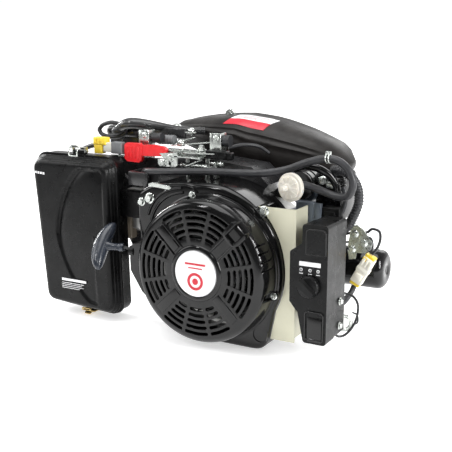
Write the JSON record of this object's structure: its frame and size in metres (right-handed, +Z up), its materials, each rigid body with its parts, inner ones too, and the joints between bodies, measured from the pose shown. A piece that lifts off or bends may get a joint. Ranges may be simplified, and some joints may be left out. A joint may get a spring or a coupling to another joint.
{
  "type": "small gasoline engine",
  "caption": "Air-cooled single-cylinder four-stroke petrol engine with recoil and electric start, side air cleaner, top silencer and keyed output shaft.",
  "frame": {"origin": "centre of the four base holes, on the mounting face under the crankcase", "axes": "+Z up from the mounting face, +Y along the crankshaft towards the power take-off, +X to the right seen from the recoil starter"},
  "size_m": [0.637, 0.4092, 0.3658],
  "materials": {
    "cast_alloy": "satin",
    "bright_zinc": "satin",
    "black_paint": "gloss",
    "black_plastic": "satin",
    "gloss_plastic": "gloss",
    "slate_plastic": "satin",
    "red_plastic": "satin",
    "white_badge": "satin",
    "steel": "satin",
    "cast_iron": "matte",
    "cream_zinc": "satin",
    "rubber_black": "matte",
    "filter_nylon": "satin",
    "filter_paper": "matte",
    "cream_connector": "satin",
    "rope": "matte",
    "heat_paint": "matte",
    "ceramic": "gloss",
    "blue_grey_paint": "satin"
  },
  "bodies": {
    "engine": {"crankcase": "cast_alloy", "side_cover": "cast_alloy", "case_bolts": "bright_zinc", "main_bearings": "steel", "oil_drain_plug": "bright_zinc", "oil_filter": "black_paint", "cylinder_head": "cast_alloy", "head_bolts": "bright_zinc", "rocker_cover": "black_paint", "spark_plug": "ceramic", "spark_plug_cap": "rubber_black", "ignition_coil": "black_plastic", "piston": "cast_alloy", "wrist_pin": "steel", "connecting_rod": "cast_alloy", "fan_shroud": "black_paint", "shroud_bolts": "bright_zinc", "recoil_housing": "gloss_plastic", "recoil_badge": "white_badge", "starter_rope": "rope", "control_box": "black_plastic", "control_box_cover": "black_plastic", "box_bracket": "cream_zinc", "starter_motor": "blue_grey_paint", "carburetor": "cast_alloy", "air_cleaner_base": "black_plastic", "air_filter_element": "filter_paper", "control_bracket": "bright_zinc", "governor_spring": "bright_zinc", "fuel_filter": "filter_nylon", "fuel_hose": "rubber_black", "muffler": "heat_paint", "muffler_bracket": "black_paint", "wiring_loom": "rubber_black", "wire_connectors": "cream_connector"},
    "crank": {"crankshaft": "steel", "flywheel": "cast_iron", "cooling_fan": "black_plastic", "starter_cup": "bright_zinc", "flywheel_nut": "bright_zinc"},
    "camshaft": {"camshaft": "cast_iron"},
    "reel": {"recoil_reel": "black_plastic", "rope_coil": "rope"},
    "upper_pawl": {"upper_pawl": "steel"},
    "lower_pawl": {"lower_pawl": "steel"},
    "handle": {"pull_handle": "slate_plastic"},
    "starter_pinion": {"starter_pinion": "steel"},
    "intake_valve": {"intake_valve": "steel"},
    "exhaust_valve": {"exhaust_valve": "steel"},
    "intake_rocker": {"intake_rocker": "steel"},
    "exhaust_rocker": {"exhaust_rocker": "steel"},
    "intake_push_rod": {"intake_push_rod": "steel"},
    "exhaust_push_rod": {"exhaust_push_rod": "steel"},
    "knob": {"switch_knob": "black_plastic"},
    "choke": {"choke_lever": "red_plastic"},
    "governor": {"governor_arm": "bright_zinc"},
    "upper_latch": {"upper_latch": "bright_zinc"},
    "lower_latch": {"lower_latch": "bright_zinc"},
    "air_cleaner_cover": {"air_cleaner_cover": "black_plastic"},
    "oil_filler_cap": {"oil_filler_cap": "black_plastic"}
  },
  "joints": [
    {"name": "crank_turn", "type": "hinge", "parent": "engine", "child": "crank", "pos_m": [0, 0, 0.133], "axis": [0, 1, 0], "continuous": true, "deforming": ["connecting_rod"]},
    {"name": "cam_turn", "type": "hinge", "parent": "engine", "child": "camshaft", "pos_m": [-0.04216, 0, 0.07279], "axis": [0, 1, 0], "continuous": true},
    {"name": "starter_spin", "type": "hinge", "parent": "engine", "child": "starter_pinion", "pos_m": [0.09699, -0.09, 0.189], "axis": [0, 1, 0], "continuous": true},
    {"name": "pull", "type": "slide", "parent": "engine", "child": "handle", "axis": [-0.9903, -0.1392, 0], "range_m": [0, 1], "stiffness_N_per_m": 12, "springref_m": -0.25, "deforming": ["starter_rope"]},
    {"name": "reel_turn", "type": "hinge", "parent": "engine", "child": "reel", "pos_m": [0, -0.199, 0.133], "axis": [0, 1, 0], "range_deg": [0, 1045.74]},
    {"name": "upper_pawl_swing", "type": "hinge", "parent": "reel", "child": "upper_pawl", "pos_m": [-0.02, -0.177, 0.133], "axis": [0, 1, 0], "range_deg": [0, 11], "stiffness_Nm_per_rad": 0.01, "springref_deg": -17.19},
    {"name": "lower_pawl_swing", "type": "hinge", "parent": "reel", "child": "lower_pawl", "pos_m": [0.02, -0.177, 0.133], "axis": [0, 1, 0], "range_deg": [0, 11], "stiffness_Nm_per_rad": 0.01, "springref_deg": -17.19},
    {"name": "knob_turn", "type": "hinge", "parent": "engine", "child": "knob", "pos_m": [0.188, -0.19, 0.133], "axis": [0, 1, 0], "range_deg": [0, 90]},
    {"name": "choke_swing", "type": "hinge", "parent": "engine", "child": "choke", "pos_m": [-0.064, -0.084, 0.312], "axis": [0, 0, 1], "range_deg": [0, 35]},
    {"name": "governor_swing", "type": "hinge", "parent": "engine", "child": "governor", "pos_m": [-0.02, -0.108, 0.296], "axis": [0, 1, 0], "range_deg": [-8, 8]},
    {"name": "upper_latch_swing", "type": "hinge", "parent": "engine", "child": "upper_latch", "pos_m": [-0.2955, -0.125, 0.303], "axis": [1, 0, 0], "range_deg": [-95, 0]},
    {"name": "lower_latch_swing", "type": "hinge", "parent": "engine", "child": "lower_latch", "pos_m": [-0.278, -0.125, 0.0055], "axis": [1, 0, 0], "range_deg": [0, 95]},
    {"name": "cover_pull", "type": "slide", "parent": "engine", "child": "air_cleaner_cover", "axis": [0, -1, 0], "range_m": [0, 0.04]},
    {"name": "filler_cap_pull", "type": "slide", "parent": "engine", "child": "oil_filler_cap", "axis": [1, 0, 0], "range_m": [0, 0.08]},
    {"name": "intake_valve_lift", "type": "slide", "parent": "engine", "child": "intake_valve", "axis": [0.9063, 0, -0.4226], "range_m": [0, 0.007], "stiffness_N_per_m": 2500, "springref_m": -0.002},
    {"name": "intake_rocker_swing", "type": "hinge", "parent": "engine", "child": "intake_rocker", "pos_m": [-0.23539, -0.02, 0.20083], "axis": [0, 1, 0], "range_deg": [0, 14]},
    {"name": "intake_push_rod_lift", "type": "slide", "parent": "engine", "child": "intake_push_rod", "axis": [-0.9063, 0, 0.4226], "range_m": [0, 0.0072]},
    {"name": "exhaust_valve_lift", "type": "slide", "parent": "engine", "child": "exhaust_valve", "axis": [0.9063, 0, -0.4226], "range_m": [0, 0.007], "stiffness_N_per_m": 2500, "springref_m": -0.002},
    {"name": "exhaust_rocker_swing", "type": "hinge", "parent": "engine", "child": "exhaust_rocker", "pos_m": [-0.23539, 0.02, 0.20083], "axis": [0, 1, 0], "range_deg": [0, 14]},
    {"name": "exhaust_push_rod_lift", "type": "slide", "parent": "engine", "child": "exhaust_push_rod", "axis": [-0.9063, 0, 0.4226], "range_m": [0, 0.0072]}
  ],
  "couplings": [
    {"joint": "cam_turn", "follows": "crank_turn", "ratio": -0.5},
    {"joint": "reel_turn", "follows": "pull", "rad_per_m": 18.182},
    {"joint": "intake_rocker_swing", "follows": "intake_valve_lift", "rad_per_m": 33.333},
    {"joint": "intake_push_rod_lift", "follows": "intake_valve_lift", "ratio": 1},
    {"joint": "exhaust_rocker_swing", "follows": "exhaust_valve_lift", "rad_per_m": 33.333},
    {"joint": "exhaust_push_rod_lift", "follows": "exhaust_valve_lift", "ratio": 1}
  ]
}
